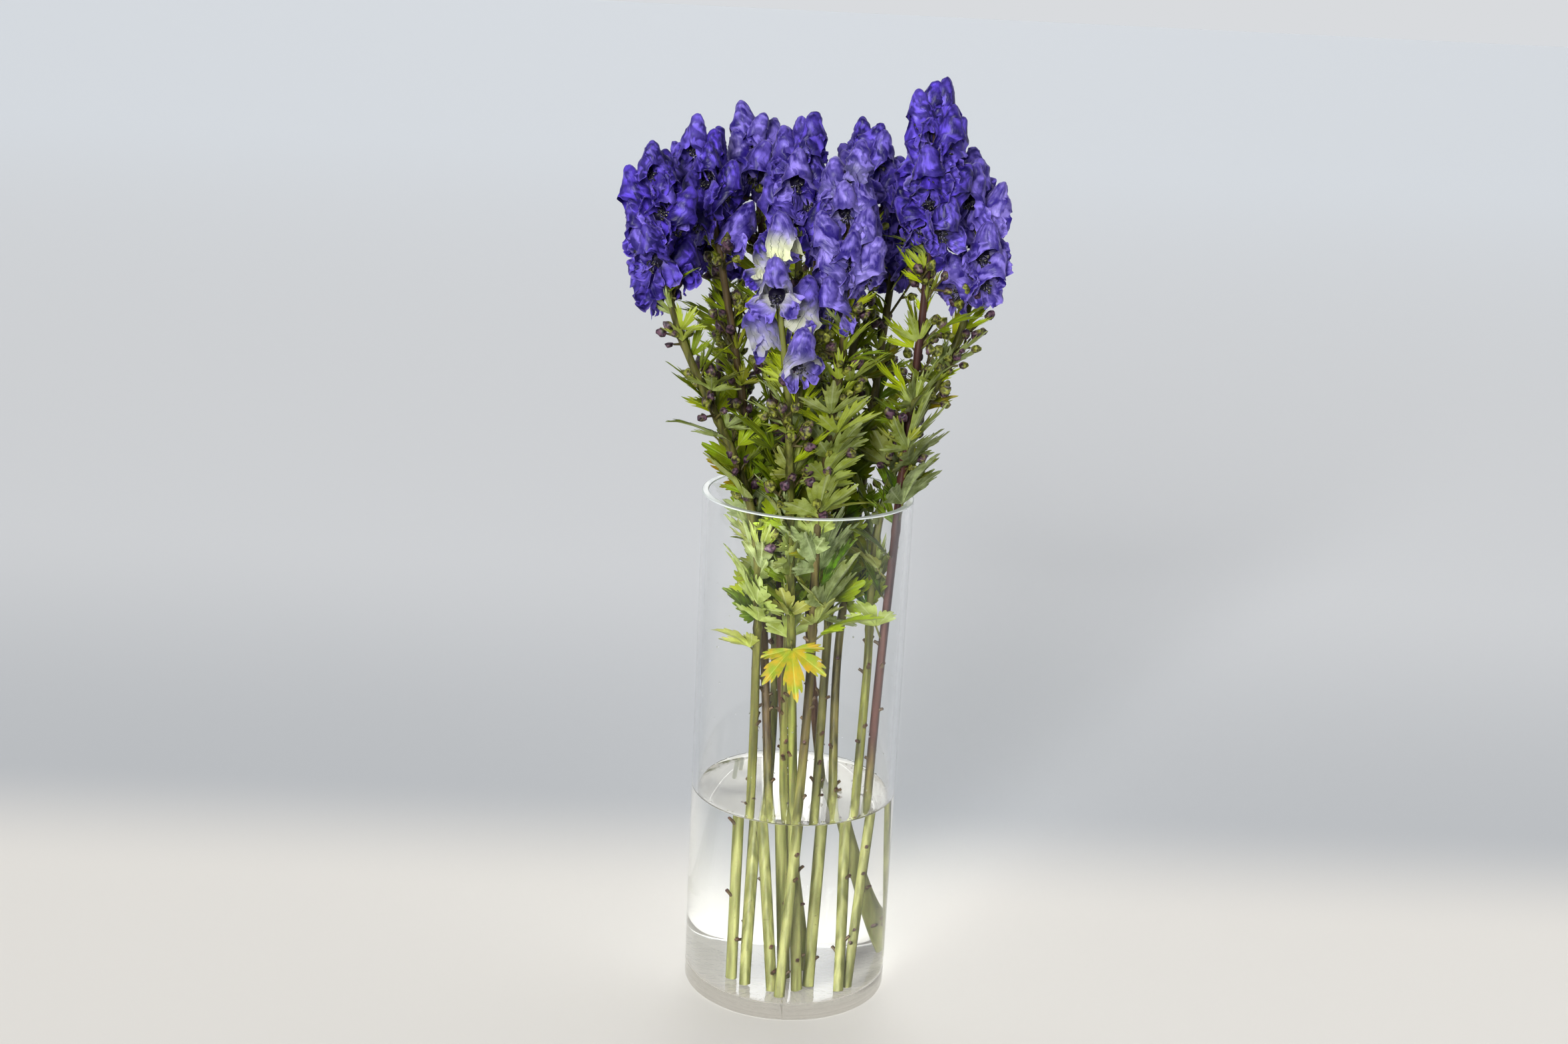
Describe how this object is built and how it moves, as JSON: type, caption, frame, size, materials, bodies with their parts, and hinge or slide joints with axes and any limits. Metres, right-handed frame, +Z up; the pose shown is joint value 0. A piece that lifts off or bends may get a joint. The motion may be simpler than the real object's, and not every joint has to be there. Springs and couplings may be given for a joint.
{
  "type": "monkshood stems in glass cylinder vase",
  "caption": "Bunch of cut monkshood with violet hooded flower spikes and cut leaves, standing in water in a tall straight clear glass cylinder vase.",
  "frame": {"origin": "centre of the flat underside of the glass vase", "axes": "+Z up along the vase's axis, -Y towards the side of the bunch that the picture shows"},
  "size_m": [0.2815, 0.2282, 0.7124],
  "materials": {
    "glass": "polished clear",
    "water": "clear water",
    "petals_deep": "soft satin, finely veined",
    "petals_violet": "soft satin, finely veined",
    "petals_pale": "soft satin, finely veined",
    "petals_young": "soft satin, pale green at the base",
    "stalk_green": "matt leaf and stem",
    "stalk_brown": "matt leaf and purple-brown stem"
  },
  "bodies": {
    "root": {"vase": "glass", "water": "water", "flowers_01": "petals_deep", "stalk_01": "stalk_brown", "flowers_02": "petals_deep", "stalk_02": "stalk_green", "flowers_03": "petals_pale", "stalk_03": "stalk_brown", "flowers_04": "petals_violet", "stalk_04": "stalk_green", "flowers_05": "petals_pale", "stalk_05": "stalk_green", "flowers_06": "petals_violet", "stalk_06": "stalk_green", "flowers_07": "petals_deep", "stalk_07": "stalk_brown", "flowers_08": "petals_pale", "stalk_08": "stalk_green", "flowers_09": "petals_young", "stalk_09": "stalk_green", "flowers_10": "petals_violet", "stalk_10": "stalk_green", "flowers_11": "petals_violet", "stalk_11": "stalk_brown", "flowers_12": "petals_deep", "stalk_12": "stalk_green"}
  },
  "joints": []
}
